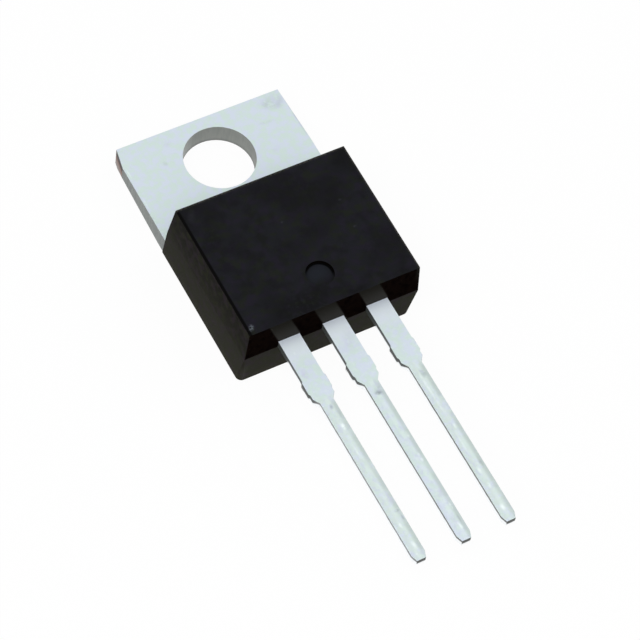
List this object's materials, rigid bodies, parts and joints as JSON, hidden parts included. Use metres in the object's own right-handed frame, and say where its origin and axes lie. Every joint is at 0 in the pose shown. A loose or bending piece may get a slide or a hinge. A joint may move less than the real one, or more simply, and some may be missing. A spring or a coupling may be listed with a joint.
{
  "type": "silicon controlled rectifier",
  "caption": "Power thyristor in a black moulded body with a drilled metal mounting tab and straight flat leads.",
  "frame": {"origin": "axis of the mounting hole, on the back face of the tab", "axes": "+Z out of the front of the body, +Y towards the free end of the tab, leads along -Y, cathode lead on the -X side"},
  "size_m": [0.01, 0.0287, 0.0047],
  "materials": {
    "moulding": "fine matt moulded epoxy",
    "plated_copper": "satin tin plating over copper",
    "solder": "dull solder",
    "silicon": "polished silicon with metal contacts",
    "bare_copper": "bare stamped copper",
    "wire": "drawn aluminium wire"
  },
  "bodies": {
    "root": {"body": "moulding", "tab_and_anode_lead": "plated_copper", "cathode_lead": "plated_copper", "gate_lead": "plated_copper", "die_solder": "solder", "thyristor_die": "silicon", "clip_solder_on_die": "solder", "clip_solder_on_post": "solder", "cathode_clip": "bare_copper", "gate_wire": "wire"}
  },
  "joints": []
}
